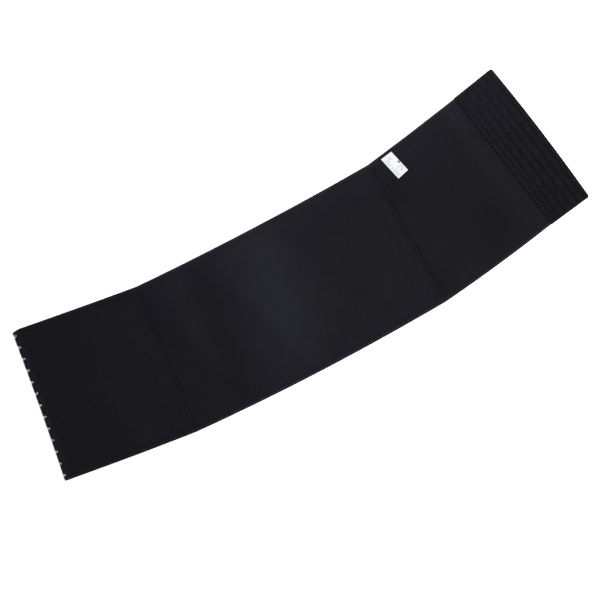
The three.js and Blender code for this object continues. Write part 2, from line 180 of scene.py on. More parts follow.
def edges(u):
    u = np.asarray(u, float)
    part = np.clip(np.floor(u).astype(int), 0, len(RUN) - 2)
    f = (u - part)[..., None]
    g = np.clip(f, 0, 1)
    run = CENTRES[part + 1] - CENTRES[part]
    down = quarter_back(directions(run))
    sag = np.maximum(0, 4 * f * (1 - f)) * RUN[part + 1][..., None]
    upper = mix(UPPER[part], UPPER[part + 1], f) + down * UPPER_BOW[part + 1][..., None] * sag
    lower = mix(LOWER[part], LOWER[part + 1], f) + down * LOWER_BOW[part + 1][..., None] * sag
    ahead = directions(mix(ALONG[part], ALONG[part + 1], g))
    bulge = mix(BULGE[part], BULGE[part + 1], g[..., 0]) * BELT_WIDTH
    return upper, lower, ahead, bulge


def width_at(u):
    upper, lower, _, _ = edges(u)
    return np.linalg.norm(upper - lower, axis=-1)


def plan(u, v):
    """Where u and v lie in the plane, in the frame that has the chord's middle at its origin."""
    u, v = np.broadcast_arrays(np.asarray(u, float), np.asarray(v, float))
    upper, lower, ahead, bulge = edges(u)
    flat = mix(lower, upper, v[..., None])
    return flat + ahead * (bulge * 4 * v * (1 - v))[..., None]


def along(part, length):
    return part + np.asarray(length, float) / RUN[part + 1]


# The frame's origin is the middle of the belt's box, so two corners of the solids give the shift
def frame_shift():
    seam_end = plan(along(1, MIDDLE_PANEL_LENGTH - CLEARANCE / 2), PANEL_BASE / width_at(2.0))
    tape_corner = plan(along(0, HOOK_TAPE_FACE), 0.0)
    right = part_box("middle_panel")[1][0] / MM
    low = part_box("hook_tape")[0][1] / MM
    return np.array([right - seam_end[0], low - tape_corner[1]])


SHIFT = frame_shift()


def place(u, v, w):
    """The place at u, v and w, in the belt's own frame, in millimetres."""
    flat = plan(u, v)
    w = np.broadcast_to(np.asarray(w, float), flat.shape[:-1])
    high = w + lift(flat[..., 0], flat[..., 1])
    return np.stack([flat[..., 0] + SHIFT[0], flat[..., 1] + SHIFT[1], high], -1)


# Meshes

def add_object(name, data):
    ob = bpy.data.objects.new(name, data)
    bpy.context.scene.collection.objects.link(ob)
    return ob


def mesh_object(name, verts, faces, material, uv, tone_and_painted_light=None):
    """A mesh from corners in millimetres, with a place on the cloth's map and a factor of painted light and
    shade for each corner.
    """
    me = bpy.data.meshes.new(name)
    counts = [len(f) for f in faces]
    corners = np.concatenate([np.asarray(f).reshape(-1) for f in faces]).astype(np.int32)
    me.vertices.add(len(verts))
    me.vertices.foreach_set("co", (np.asarray(verts) * MM).astype(np.float32).ravel())
    me.loops.add(len(corners))
    me.loops.foreach_set("vertex_index", corners)
    me.polygons.add(len(counts))
    me.polygons.foreach_set("loop_start", running(counts)[:-1].astype(np.int32))
    me.polygons.foreach_set("use_smooth", np.full(len(counts), True))
    layer = me.uv_layers.new(name="cloth")
    layer.uv.foreach_set("vector", (np.asarray(uv) * MM)[corners].astype(np.float32).ravel())
    shade_corners(me, "tone_and_painted_light", np.ones(len(verts)) if tone_and_painted_light is None else tone_and_painted_light)
    me.update(calc_edges=True)
    me.validate()
    ob = add_object(name, me)
    me.materials.append(material)
    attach(ob, "root")
    return ob


def shade_corners(me, name, values):
    values = np.asarray(values, np.float32).ravel()
    me.attributes.new(name, "FLOAT", "POINT").data.foreach_set("value", values)


def grid_quads(rows, columns, first=0, flip=False, wrap=False):
    """Quads over a grid of corners numbered row by row; wrap joins its last column to its first."""
    i = np.arange(rows - 1)[:, None] * columns
    j = np.arange(columns if wrap else columns - 1)[None, :]
    k = (j + 1) % columns
    quads = np.stack([i + j, i + columns + j, i + columns + k, i + k], -1).reshape(-1, 4) + first
    return list(quads[:, ::-1] if flip else quads)


def slab(name, top, bottom, uv, material, tone_and_painted_light=None):
    """A sheet between two grids of corners, closed round its four sides."""
    rows, columns = top.shape[:2]
    count = rows * columns
    faces = grid_quads(rows, columns, 0) + grid_quads(rows, columns, count, flip=True)
    border = np.concatenate([
        np.arange(columns - 1),
        np.arange(rows - 1) * columns + columns - 1,
        (rows - 1) * columns + np.arange(columns - 1, 0, -1),
        np.arange(rows - 1, 0, -1) * columns,
    ])
    after = np.roll(border, -1)
    faces += list(np.stack([border, after, after + count, border + count], -1))
    verts = np.concatenate([top.reshape(-1, 3), bottom.reshape(-1, 3)])
    shades = None if tone_and_painted_light is None else np.tile(tone_and_painted_light.ravel(), 2)
    return mesh_object(name, verts, faces, material, np.tile(uv.reshape(-1, 2), (2, 1)), shades)


def loft(name, rings, uv, material, flip=False, tone_and_painted_light=None):
    """A closed strip through rings of corners, with a flat face at each end."""
    rows, columns = rings.shape[:2]
    faces = grid_quads(rows, columns, 0, flip=flip, wrap=True)
    first, last = np.arange(columns), (rows - 1) * columns + np.arange(columns)
    faces += [first[::-1], last] if flip else [first, last[::-1]]
    return mesh_object(name, rings.reshape(-1, 3), faces, material, uv.reshape(-1, 2), tone_and_painted_light)


def tube_rings(path, radius, sides):
    """Rings of corners round a path of points; radius may differ from point to point."""
    ahead = directions(np.gradient(path, axis=0))
    side = np.cross(ahead[0], (0.0, 0.0, 1.0))
    carried = []
    for direction in ahead:
        side = directions(side - direction * (side @ direction))
        carried.append(side)
    side = np.array(carried)
    other = np.cross(ahead, side)
    angle = np.linspace(0, 2 * math.pi, sides, endpoint=False)
    out = side[:, None] * np.cos(angle)[:, None] + other[:, None] * np.sin(angle)[:, None]
    return path[:, None] + out * np.broadcast_to(radius, len(path))[:, None, None]


def rounded_ends(path, radius):
    """A path with three more points at each end and the radii that close it in a dome."""
    start, end = directions(path[0] - path[1]), directions(path[-1] - path[-2])
    angles = np.radians([80, 50, 22])
    head = path[0] + start * (np.sin(angles) * radius)[:, None]
    tail = path[-1] + end * (np.sin(angles[::-1]) * radius)[:, None]
    radii = np.concatenate([np.cos(angles), np.ones(len(path)), np.cos(angles[::-1])]) * radius
    return np.concatenate([head, path, tail]), radii


STITCH_STEPS = np.linspace(0, 1, 7)
STITCH_SIDES = 6
STITCH_PITCH, STITCH_LENGTH, SEAM_STITCH_LENGTH = 3.1, 2.4, 2.5

# Radii of the threads: a tape's, a seam's needles and cover, a binding's, and those on an outer face
TAPE_THREAD, NEEDLE_THREAD, COVER_THREAD, BINDING_THREAD, OUTER_THREAD = 0.24, 0.26, 0.22, 0.2, 0.17


def stitches(name, starts, ends, radius, rise, material, sink=0.35):
    """Threads that come up at their starts, arch over the cloth and go down again at their ends."""
    starts, ends = np.asarray(starts), np.asarray(ends)
    t = STITCH_STEPS
    path = starts[:, None] + (ends - starts)[:, None] * t[None, :, None]
    arch = (rise + sink) * np.sin(np.pi * t) ** 0.6 - sink
    path[..., 2] += arch[None]
    ahead = directions(np.gradient(path, axis=1))
    side = directions(np.cross(ahead, (0.0, 0.0, 1.0)))
    up = np.cross(side, ahead)
    angle = np.linspace(0, 2 * math.pi, STITCH_SIDES, endpoint=False)
    radii = radius * (0.55 + 0.45 * np.sin(np.pi * t))
    out = side[:, :, None] * np.cos(angle)[:, None] + up[:, :, None] * np.sin(angle)[:, None]
    verts = path[:, :, None] + out * radii[None, :, None, None]
    count, rows, columns = verts.shape[:3]
    one = np.array(grid_quads(rows, columns, 0, wrap=True))
    quads = (one[None] + (np.arange(count) * rows * columns)[:, None, None]).reshape(-1, 4)
    first = np.arange(columns)[None] + (np.arange(count) * rows * columns)[:, None]
    faces = list(quads) + list(first) + list((first + (rows - 1) * columns)[:, ::-1])
    length = np.linalg.norm(ends - starts, axis=1)
    uv = np.zeros((count, rows, columns, 2))
    uv[..., 0] = t[None, :, None] * length[:, None, None]
    uv[..., 1] = (angle * radius)[None, None]
    return mesh_object(name, verts.reshape(-1, 3), faces, material, uv.reshape(-1, 2))


# Materials

def nodes_of(name):
    material = bpy.data.materials.new(name)
    material.use_nodes = True
    tree = material.node_tree
    return material, tree, tree.nodes["Principled BSDF"]


def connect(tree, target, inputs):
    """Sets a node's inputs, and links those whose value comes out of another node."""
    for key, value in inputs.items():
        if isinstance(value, bpy.types.NodeSocket):
            tree.links.new(value, target.inputs[key])
        else:
            target.inputs[key].default_value = value


def node(tree, kind, inputs, **settings):
    made = tree.nodes.new(kind)
    for key, value in settings.items():
        setattr(made, key, value)
    connect(tree, made, inputs)
    return made


def maths(tree, operation, *values):
    return node(tree, "ShaderNodeMath", dict(enumerate(values)), operation=operation).outputs[0]


def product(tree, a, b):
    return maths(tree, "MULTIPLY", a, b)


def tinted(tree, colour, value):
    return node(tree, "ShaderNodeVectorMath", {0: colour, 1: value}, operation="MULTIPLY").outputs[0]


def noise(tree, at, scale, detail, **more):
    inputs = {"Vector": at, "Scale": scale, "Detail": detail, **more}
    return node(tree, "ShaderNodeTexNoise", inputs).outputs["Fac"]


def attribute(tree, name):
    return node(tree, "ShaderNodeAttribute", {}, attribute_name=name).outputs["Fac"]


def cloth_map(tree):
    """The place on the cloth's own map, in metres, whole and as its two parts."""
    at = node(tree, "ShaderNodeUVMap", {}, uv_map="cloth").outputs["UV"]
    parts = node(tree, "ShaderNodeSeparateXYZ", {0: at})
    return at, parts.outputs["X"], parts.outputs["Y"]


def ramp(tree, value, *stops):
    """A colour that changes evenly between two stops."""
    made = node(tree, "ShaderNodeValToRGB", {"Fac": value})
    for element, (position, colour) in zip(made.color_ramp.elements, stops, strict=True):
        element.position, element.color = position, (*colour, 1)
    return made.outputs["Color"]


def mottled(tree, at, scale, low, high):
    """A colour that drifts between two shades over the cloth, made lighter or darker by the mesh's painted
    light and shade.
    """
    shade = ramp(tree, noise(tree, at, scale, 6.0, Roughness=0.72), (0.3, low), (0.7, high))
    return tinted(tree, shade, attribute(tree, "tone_and_painted_light"))


def bumped(tree, shader, height, strength, distance):
    bump = node(tree, "ShaderNodeBump", {"Height": height, "Strength": strength, "Distance": distance})
    tree.links.new(bump.outputs["Normal"], shader.inputs["Normal"])


def cells(tree, x, y, wide, high, stagger):
    """How far each point is from the middle of its cell in a brick-like field, along both ways."""
    row = maths(tree, "DIVIDE", y, high * MM)
    odd = product(tree, maths(tree, "MODULO", maths(tree, "FLOOR", row), 2.0), stagger)
    column = maths(tree, "ADD", maths(tree, "DIVIDE", x, wide * MM), odd)
    return [maths(tree, "SUBTRACT", maths(tree, "FRACT", way), 0.5) for way in (column, row)]


def woven(tree, *field):
    """Rounded cells, highest in the middle of each."""
    across, down = (maths(tree, "COSINE", product(tree, way, math.pi)) for way in cells(tree, *field))
    return product(tree, across, down)


def knit(name, low, high, stitch, strength, gloss):
    """A fine knit: V-shaped stitches in rows, fuzz over them and the gloss of smooth laminated cloth."""
    material, tree, shader = nodes_of(name)
    at, x, y = cloth_map(tree)
    across, down = cells(tree, x, y, stitch, stitch * 0.8, 0.0)
    gutter = maths(tree, "ABSOLUTE", across)
    slanted = maths(tree, "FRACT", maths(tree, "ADD", down, product(tree, gutter, 0.9)))
    leg = maths(tree, "ABSOLUTE", maths(tree, "SUBTRACT", slanted, 0.5))
    loops = product(tree, leg, maths(tree, "SMOOTH_MIN", gutter, 0.35, 0.1))
    fuzz = noise(tree, at, 2600.0, 2.0)
    light = maths(tree, "MULTIPLY_ADD", loops, 2.2, 0.72)
    connect(tree, shader, {
        "Base Color": tinted(tree, mottled(tree, at, 135.0, low, high), light),
        "Roughness": 0.7,
        "Specular IOR Level": 0.06,
        "Coat Weight": maths(tree, "MULTIPLY_ADD", attribute(tree, "matt"), -gloss, gloss),
        "Coat Roughness": 0.24,
    })
    height = maths(tree, "ADD", product(tree, loops, 3.0), product(tree, fuzz, 0.5))
    bumped(tree, shader, height, strength, 0.0004)
    return material


def ribbed(name, low, high, pitch, strength):
    """A woven tape: fine ribs across its length with threads over and under them."""
    material, tree, shader = nodes_of(name)
    at, x, y = cloth_map(tree)
    pillow = woven(tree, x, y, pitch, pitch * 0.62, 0.5)
    fuzz = noise(tree, at, 1800.0, 3.0)
    height = maths(tree, "ADD", product(tree, pillow, 0.8), product(tree, fuzz, 0.7))
    light = maths(tree, "MULTIPLY_ADD", height, 0.7, 0.45)
    connect(tree, shader, {
        "Base Color": tinted(tree, mottled(tree, at, 60.0, low, high), light),
        "Roughness": 0.85,
        "Specular IOR Level": 0.1,
    })
    bumped(tree, shader, height, strength, 0.0005)
    return material


def thread(name, colour):
    """Twisted thread with slanting plies."""
    material, tree, shader = nodes_of(name)
    _, x, y = cloth_map(tree)
    ply = maths(tree, "SINE", maths(tree, "ADD", product(tree, x, 5200.0), product(tree, y, 6000.0)))
    base = node(tree, "ShaderNodeRGB", {}).outputs[0]
    base.default_value = (*colour, 1)
    connect(tree, shader, {
        "Base Color": tinted(tree, base, maths(tree, "MULTIPLY_ADD", ply, 0.2, 0.85)),
        "Roughness": 0.6,
        "Specular IOR Level": 0.05,
    })
    bumped(tree, shader, ply, 0.5, 0.0001)
    return material


def steel(name):
    """Plated wire with faint fine marks and small dull spots."""
    material, tree, shader = nodes_of(name)
    at = node(tree, "ShaderNodeTexCoord", {}).outputs["Object"]
    spots = noise(tree, at, 900.0, 3.0)
    connect(tree, shader, {
        "Base Color": ramp(tree, spots, (0.35, (0.62, 0.62, 0.62)), (0.6, (0.80, 0.80, 0.81))),
        "Roughness": maths(tree, "MULTIPLY_ADD", spots, 0.22, 0.16),
        "Metallic": 1.0,
    })
    bumped(tree, shader, noise(tree, at, 5200.0, 2.0), 0.08, 0.00005)
    return material


def within(tree, value, low, high):
    """One where a map value in metres is between two places in millimetres, and nothing elsewhere."""
    above = maths(tree, "GREATER_THAN", value, low * MM)
    return product(tree, above, maths(tree, "LESS_THAN", value, high * MM))


def satin(name):
    """White satin for the label, with faint broken bars and blocks where a real one is printed."""
    material, tree, shader = nodes_of(name)
    at, x, y = cloth_map(tree)
    marks = 0.0
    for bottom, top, left, right, depth in LABEL_MARKS:
        inside = product(tree, within(tree, y, bottom, top), within(tree, x, left, right))
        marks = maths(tree, "MAXIMUM", marks, product(tree, inside, depth))
    breaks = maths(tree, "GREATER_THAN", noise(tree, at, 700.0, 0.0), 0.44)
    broken = maths(tree, "MAXIMUM", maths(tree, "GREATER_THAN", marks, 0.5), breaks)
    weave = woven(tree, x, y, 0.9, 0.22, 0.5)
    shade = mottled(tree, at, 120.0, (0.60, 0.595, 0.62), (0.66, 0.65, 0.67))
    unprinted = maths(tree, "MULTIPLY_ADD", weave, 0.05, 0.95)
    light = maths(tree, "SUBTRACT", unprinted, product(tree, marks, broken))
    connect(tree, shader, {
        "Base Color": tinted(tree, shade, light),
        "Roughness": 0.45,
        "Specular IOR Level": 0.3,
    })
    bumped(tree, shader, weave, 0.25, 0.0002)
    return material


# Marks on the label, in millimetres from its lower left corner: bottom, top, left, right, depth of grey
LABEL_MARKS = (
    (3.5, 34.0, 2.2, 3.1, 0.42),
    (3.0, 33.0, 4.2, 5.1, 0.5),
    (5.0, 26.0, 6.2, 7.0, 0.3),
    (27.0, 33.5, 6.4, 8.2, 0.5),
    (29.0, 35.5, 9.2, 11.0, 0.4),
    (27.5, 34.0, 12.2, 13.6, 0.34),
    (17.2, 20.9, 17.0, 19.3, 0.95),
    (11.2, 13.6, 16.2, 18.2, 0.4),
    (7.4, 9.8, 16.0, 18.0, 0.44),
    (12.6, 15.0, 11.2, 13.4, 0.3),
    (5.2, 8.4, 12.2, 15.0, 0.42),
)

NEOPRENE_CLOTH = knit("neoprene_cloth", (0.0044, 0.0039, 0.0062), (0.0068, 0.0060, 0.0096), 0.75, 0.3, 0.03)
BINDING_CLOTH = knit("binding_cloth", (0.0055, 0.0049, 0.0076), (0.0066, 0.0059, 0.0092), 0.9, 0.4, 0.03)
TAPE_CLOTH = ribbed("tape_cloth", (0.0057, 0.0050, 0.0077), (0.0083, 0.0074, 0.0111), 0.8, 0.6)
THREAD = thread("black_thread", (0.0052, 0.0047, 0.0066))
GREY_THREAD = thread("grey_thread", (0.0125, 0.0118, 0.0150))
STEEL_WIRE = steel("steel_wire")
LABEL_SATIN = satin("label_satin")


# Where things stand along a line

def spread(low, high, step, *fine):
    """Values from low to high about a step apart, with the finer ones asked for in between."""
    count = max(2, int(math.ceil((high - low) / step)) + 1)
    values = list(np.linspace(low, high, count))
    extra = [f for f in fine if low < f < high]
    ends = (values[0], values[-1])
    kept = [v for v in values if v in ends or all(abs(v - f) > 0.3 * step for f in extra)]
    return np.array(sorted(kept + extra))


def notch(distance, width):
    """One at no distance, falling off softly on both sides within about the width."""
    return np.exp(-((distance / width) ** 2))


# Panels

PANEL_INSET = 1.1
SEAM_NEEDLE, SEAM_MATT = 2.7, 3.6
SEAM_FINE = (0.12, 0.35, 0.7, 1.1, 1.6, 2.0, 2.35, 2.7, 3.05, 3.4, 3.9, 4.8, 6.2)
EDGE_FINE = (3.0, 5.0, 6.2, 7.0, 7.8, 9.0, 11.0, 13.5)
PANEL_STEP, BUTT_GAP, MATT_FADE, SEAM_REACH = 2.6, 0.04, 4.0, 16.0


def seam_relief(distance, v):
    """How far the cloth is drawn down beside a seam: its butt line and a groove for each needle."""
    pull = 0.75 + 0.25 * np.sin(v * 150.0)
    grooves = 0.12 * pull * notch(np.abs(distance) - SEAM_NEEDLE, 0.7)
    return grooves + 0.2 * notch(distance, 0.4) + 0.08 * notch(distance, 4.0)


# Soft patches of painted shade and painted light on the cloth: columns are the cross line, how far past it,
# v, both reaches and how much darker, or lighter where it is below nothing
PAINTED_SHADING_PATCHES = (
    (2, 20.0, 0.76, 16.0, 0.15, 0.26),
    (2, 13.0, 0.10, 14.0, 0.12, 0.24),
    (2, 3.0, 0.96, 6.0, 0.04, 0.4),
    (2, 112.0, 0.22, 32.0, 0.22, 0.26),
    (1, 88.0, 0.35, 26.0, 0.5, 0.10),
    (1, 45.0, 0.9, 26.0, 0.25, -0.12),
    (1, -35.0, 0.3, 45.0, 1.0, 0.04),
    (1, 190.0, 0.5, 55.0, 1.5, -0.14),
    (1, 145.0, 0.5, 26.0, 1.5, -0.13),
    (1, 228.0, 1.0, 60.0, 0.45, -0.14),
    (2, 70.0, 0.88, 44.0, 0.15, -0.2),
    (2, 135.0, 0.2, 34.0, 0.28, 0.06),
    (3, -10.0, 0.9, 30.0, 0.14, -0.16),
    (2, 30.0, 0.12, 34.0, 0.2, -0.07),
)
# How light each panel's cloth is painted, the middle one lightest: painted light and shade for how the
# light falls along the belt
PANEL_SHADE = (0.975, 1.03, 0.965)

# Light near the upper and the lower edge and its reach, then the narrow line of it beside a binding
EDGE_LIGHT, EDGE_REACH = (0.36, 0.10), (28.0, 20.0)
BESIDE_LIGHT, BESIDE_AT, BESIDE_REACH = 0.22, 8.0, 1.8
EDGE_LIGHT_FROM = (0.85, 1.25)


def from_seam(u, line):
    """How far past a cross line a place is, in millimetres, below nothing where it is before the line."""
    return np.where(u < line, (u - line) * RUN[line], (u - line) * RUN[line + 1])


def edge_light(u, v):
    """How much lighter the cloth is near the upper and the lower edge, from the first seam on."""
    onward = smooth_step(u, *EDGE_LIGHT_FROM)
    upper = EDGE_LIGHT[0] * notch((1 - v) * BELT_WIDTH, EDGE_REACH[0])
    lower = EDGE_LIGHT[1] * notch(v * BELT_WIDTH, EDGE_REACH[1])
    beside = BESIDE_LIGHT * notch(np.minimum(v, 1 - v) * BELT_WIDTH - BESIDE_AT, BESIDE_REACH)
    return onward * (upper + lower + beside)


def cloth_painted_light(part, u, v):
    """How light the cloth is painted: each panel as the light falls on it, painted light near the edges,
    painted shade at a seam's needles with a lighter band along it, and painted shade or light in the soft
    patches.
    """
    tone_and_painted_light = PANEL_SHADE[part] + edge_light(u, v)
    for line in (1, 2):
        distance = from_seam(u, line)
        tone_and_painted_light = tone_and_painted_light - 0.25 * notch(distance + SEAM_NEEDLE, 0.7) - 0.5 * notch(distance - SEAM_NEEDLE, 0.8)
        tone_and_painted_light = tone_and_painted_light + 0.17 * notch(distance, 4.6)
    for line, past, at_v, reach, reach_v, depth in PAINTED_SHADING_PATCHES:
        tone_and_painted_light = tone_and_painted_light - depth * notch(from_seam(u, line) - past, reach) * notch(v - at_v, reach_v)
    return tone_and_painted_light


def panel_skin(u, v):
    """How far the panels' face is drawn in from the flat at a place, for the inner and outer face alike."""
    drop = 0.0
    for line in (1, 2):
        distance = from_seam(u, line)
        drop = drop + np.where(np.abs(distance) < SEAM_REACH, seam_relief(distance, v), 0.0)
    inset = np.minimum(v, 1 - v) * width_at(u)
    return drop + 0.15 * notch(np.maximum(inset - 6.0, 0), 4.0)


def panel(name, part, lengths):
    v_mm = spread(PANEL_INSET, BELT_WIDTH / 2, PANEL_STEP, *EDGE_FINE)
    shares = v_mm / BELT_WIDTH
    shares = np.concatenate([shares, 1 - shares[-2::-1]])
    u, v = np.meshgrid(lengths, shares, indexing="ij")
    drop = panel_skin(u, v)
    top = place(u, v, PANEL_TOP - drop)
    bottom = place(u, v, PANEL_BASE + drop)
    uv = np.stack([np.interp(u, LINES, LINES_AT), v * BELT_WIDTH], -1)
    ob = slab(name, top, bottom, uv, NEOPRENE_CLOTH, cloth_painted_light(part, u, v))
    nearness = [-np.abs(from_seam(u, line)) for line in (1, 2)]
    matt = sum(smooth_step(near, -SEAM_MATT - MATT_FADE, -SEAM_MATT) for near in nearness)
    shade_corners(ob.data, "matt", np.tile(matt.ravel(), 2))
    return ob


def panel_lengths(part, start, end, seam_low, seam_high):
    fine = []
    if seam_low:
        fine += list(SEAM_FINE)
    if seam_high:
        fine += [RUN[part + 1] - f for f in SEAM_FINE]
    return along(part, spread(start, end, PANEL_STEP, *fine))


def make_panels():
    hook = panel_lengths(0, HOOK_SEAT + CLEARANCE, RUN[1] - BUTT_GAP, False, True)
    middle = panel_lengths(1, BUTT_GAP, RUN[2] - BUTT_GAP, True, True)
    eye = panel_lengths(2, BUTT_GAP, RUN[3], True, False)
    eye = np.concatenate([eye, along(3, [3.5, EYE_LAP - CLEARANCE])])
    made = []
    for part, (name, lengths, node_name) in enumerate((
        ("hook_side_cloth", hook, "hook_side_panel"),
        ("middle_cloth", middle, "middle_panel"),
        ("eye_side_cloth", eye, "eye_side_panel"),
    )):
        ob = panel(name, part, lengths)
        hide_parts(node_name)
        made.append((ob, lengths))
    return made


def on_inner_face(u, v_mm):
    """Places on the panels' inner face, which lies up."""
    v = v_mm / BELT_WIDTH
    return place(u, v, PANEL_TOP - panel_skin(u, v))


def on_outer_face(u, v_mm):
    v = v_mm / BELT_WIDTH
    return place(u, v, PANEL_BASE + panel_skin(u, v))


def seam_threads(line):
    """Two needle rows on a seam's inner face and, on its outer face, a zigzag over the butt line."""
    first, last = BINDING_FACE + 0.6, BELT_WIDTH - BINDING_FACE - 0.6
    at = np.arange(first, last - SEAM_STITCH_LENGTH, STITCH_PITCH)
    low, high = line - SEAM_NEEDLE / RUN[line], line + SEAM_NEEDLE / RUN[line + 1]
    starts = np.concatenate([on_inner_face(u, at) for u in (low, high)])
    ends = np.concatenate([on_inner_face(u, at + SEAM_STITCH_LENGTH) for u in (low, high)])
    needle = stitches(f"seam_{line}_needle_threads", starts, ends, NEEDLE_THREAD, 0.2, THREAD)
    near, onward = on_outer_face(low, at), on_outer_face(low, at + STITCH_PITCH)
    far = on_outer_face(high, at + STITCH_PITCH / 2)
    starts, ends = np.concatenate([near, far]), np.concatenate([far, onward])
    cover = stitches(f"seam_{line}_cover_threads", starts, ends, COVER_THREAD, -0.22, THREAD, sink=-0.3)


# Edge bindings

ZIG_PITCH, ZIG_NEAR, ZIG_FAR = 3.6, 2.5, 5.3
BINDING_STEP, BINDING_GAP = 0.9, 0.1

# A corner of a folded section that is higher than this belongs to its upper leaf
UPPER_LEAF = 3.0

# The binding's section round the folded edge: inset from the edge and height, from lower to upper lip
BINDING_SECTION = np.array([
    (6.5, 1.28), (6.95, 1.05), (7.0, 0.62), (6.55, 0.30), (5.6, 0.18), (4.6, 0.2), (3.6, 0.22), (2.6, 0.18),
    (1.7, 0.15), (0.95, 0.32), (0.4, 0.75), (0.08, 1.4), (0.0, 2.1), (0.0, 2.9), (0.08, 3.6), (0.4, 4.3),
    (0.95, 4.78), (1.7, 4.98), (2.6, 4.95), (3.6, 4.9), (4.6, 4.92), (5.6, 4.92), (6.55, 4.8), (7.0, 4.45),
    (6.95, 4.02), (6.5, 3.72), (1.2, 3.84), (1.2, 1.24),
])

# Which corners make the section's upper face, and how many at its end lie inside the fold
BINDING_TOP, BINDING_INSIDE = slice(13, 24), 2

# Light on the upper and on the lower rim: how much, how far in from the edge and its reach
UPPER_RIM, LOWER_RIM = (1.7, 1.7, 1.6), (1.45, 2.1, 1.9)
RIM_START, RIM_FROM = 0.3, (0.9, 1.2)
LABEL_BUMP, LABEL_BUMP_REACH, LABEL_NIP_FADE = 0.3, 14.0, (-20.0, -12.0)


def label_bump(x, y):
    """The binding rises a little where the label's end goes under it."""
    top = label_frame()[0] + SHIFT
    return LABEL_BUMP * notch(np.hypot(x - top[0], y - top[1]), LABEL_BUMP_REACH)


def label_nip(u):
    """The share of its face by which the upper binding is narrower where the label's end goes under it."""
    off = np.abs(u - along(2, LABEL_FROM_SEAM)) * EYE_PANEL_LENGTH
    return LABEL_RISE / BINDING_FACE * smooth_step(-off, *LABEL_NIP_FADE)


def zigzag(distance):
    """The inset of the zigzag row at a distance along the binding."""
    t = np.abs((distance / ZIG_PITCH) % 1 * 2 - 1)
    return mix(ZIG_NEAR, ZIG_FAR, t)


def binding_columns():
    """Where a binding's rings stand between the two tapes, as u and as a distance from the first ring."""
    ends = along(0, HOOK_TAPE_FACE + BINDING_GAP), along(2, EYE_PANEL_LENGTH - BINDING_GAP)
    first, last = np.interp(ends, LINES, LINES_AT)
    run = np.linspace(0, last - first, int((last - first) / BINDING_STEP) + 1)
    return np.interp(run + first, LINES_AT, LINES), run


def binding_height(run, inset, w, upper_side):
    """The section's height where the zigzag draws it in, for the upper or the lower leaf."""
    near = notch(inset - zigzag(run), 0.7) * (0.7 + 0.3 * np.cos(2 * np.pi * run / ZIG_PITCH * 2))
    pucker = 0.12 * np.sin(2 * np.pi * run / (2.3 * ZIG_PITCH)) + 0.06 * np.sin(run * 0.31)
    face = smooth_step(inset, 0.5, 2.0) * smooth_step(7.2 - inset, 0.1, 1.0)
    change = (0.14 * near + pucker * 0.4) * face
    return np.where(upper_side, w - change, w + np.maximum(change, 0.0) * 0.6)


def make_binding(name, upper):
    u, run = binding_columns()
    inset, w = BINDING_SECTION.T
    uu, ii = np.meshgrid(u, inset, indexing="ij")
    rr, ww = np.meshgrid(run, w, indexing="ij")
    corner = np.arange(len(inset))
    shown, on_top = corner < len(inset) - BINDING_INSIDE, corner >= BINDING_TOP.start
    ww = np.where(shown, binding_height(rr, ii, ww, on_top), ww)
    share = ii / width_at(uu)
    v = 1 - share * (1 - label_nip(uu)) if upper else share
    rings = place(uu, v, ww)
    if upper:
        rings[..., 2] += label_bump(rings[..., 0], rings[..., 1]) * (ww > UPPER_LEAF)
    around = running(np.hypot(np.diff(inset), np.diff(w)))
    uv = np.stack(np.meshgrid(run, around, indexing="ij"), -1)
    rim_light, rim_at, rim_reach = UPPER_RIM if upper else LOWER_RIM
    rim = rim_light * notch(ii - rim_at, rim_reach) + 0.3 * notch(ii - 6.6, 0.9)
    # Painted light on the binding's outer side and just inside the fold, on its rims and near the belt's
    # edges, and painted shade along the zigzag's dents
    tone_and_painted_light = 1.06 + 1.2 * notch(ii, 0.5) + 0.35 * notch(ii - 0.9, 1.2)
    tone_and_painted_light = tone_and_painted_light + rim * mix(RIM_START, 1.0, smooth_step(uu, *RIM_FROM))
    tone_and_painted_light = tone_and_painted_light + edge_light(uu, v) - 0.12 * notch(ii - zigzag(rr), 0.6)
    ob = loft(name, rings, uv, BINDING_CLOTH, flip=not upper, tone_and_painted_light=tone_and_painted_light)
    return ob, u, run


def binding_threads(name, upper, u, run):
    """The zigzag row on both leaves of a binding."""
    knots = np.arange(ZIG_PITCH * 0.5, run[-1] - ZIG_PITCH, ZIG_PITCH / 2)
    inset = zigzag(knots)
    at = np.interp(knots, run, u)
    share = inset / width_at(at)
    v = 1 - share * (1 - label_nip(at)) if upper else share
    top = np.interp(inset, *BINDING_SECTION[BINDING_TOP].T)
    above = place(at, v, binding_height(knots, inset, top, True))
    if upper:
        above[:, 2] += label_bump(above[:, 0], above[:, 1])
    ob = stitches(name, above[:-1], above[1:], BINDING_THREAD, 0.14, THREAD)
    low = place(at, v, 0.34)
    under = stitches(name + "_under", low[:-1], low[1:], OUTER_THREAD, -0.05, THREAD, sink=-0.22)


# Hook tape

CLOSURE_MM = HOOK_MARGIN + np.arange(HOOK_COUNT) * HOOK_PITCH

